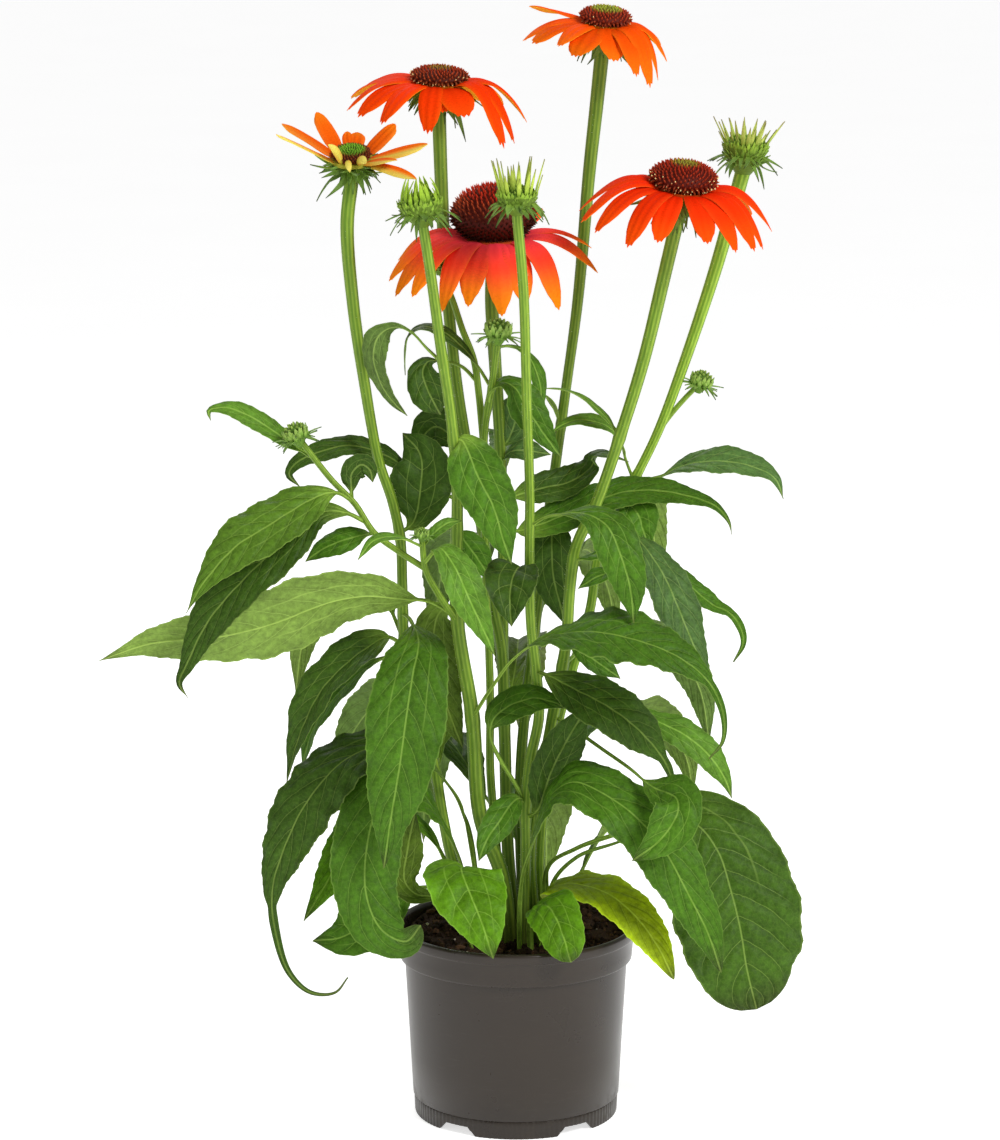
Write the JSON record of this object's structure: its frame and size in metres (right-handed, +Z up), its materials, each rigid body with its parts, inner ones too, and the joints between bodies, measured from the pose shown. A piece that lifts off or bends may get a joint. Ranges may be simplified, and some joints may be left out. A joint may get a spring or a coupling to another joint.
{
  "type": "potted coneflower plant",
  "caption": "Flowering coneflower with tall leafy stems, domed cones and drooping petals, rooted in soil in a round plastic nursery pot that stands on its feet.",
  "frame": {"origin": "centre of the pot's base, on the ground, under the flat middle foot", "axes": "+Z up along the plant, -Y towards the front where the large leaves hang, +X to the right seen from the front"},
  "size_m": [0.4271, 0.2543, 0.6869],
  "materials": {
    "pot": "satin dark grey moulded polypropylene",
    "soil": "rough dark potting mix of peat and bark",
    "stem": "fleshy green stem and leaves with a dull waxy sheen",
    "leaf": "rough green leaf, softly satin",
    "petal": "velvety orange-red petal",
    "cone": "dense dark red-brown floret spikes",
    "bud": "young yellow-green rays"
  },
  "bodies": {
    "root": {"pot": "pot", "soil": "soil", "stem_button": "stem", "stem_left": "stem", "stem_tall": "stem", "stem_centre": "stem", "stem_spiky": "stem", "stem_top": "stem", "stem_right": "stem", "stem_fan": "stem", "stem_small": "stem", "petals_left": "petal", "petals_tall": "petal", "petals_centre": "petal", "petals_top": "petal", "petals_right": "petal", "cone_left": "cone", "cone_tall": "cone", "cone_centre": "cone", "cone_top": "cone", "cone_right": "cone", "bud_button": "bud", "bud_spiky": "bud", "bud_fan": "bud", "root_leaf_front_right": "leaf", "root_leaf_far_right": "leaf", "root_leaf_right_back": "leaf", "root_leaf_pale_right": "leaf", "root_leaf_pale_front": "leaf", "root_leaf_heart": "leaf", "root_leaf_front_left": "leaf", "root_leaf_far_left": "leaf", "root_leaf_folded_left": "leaf", "root_leaf_left_back": "leaf", "root_leaf_low_left": "leaf", "root_leaf_back": "leaf", "root_leaf_back_right": "leaf"}
  },
  "joints": []
}
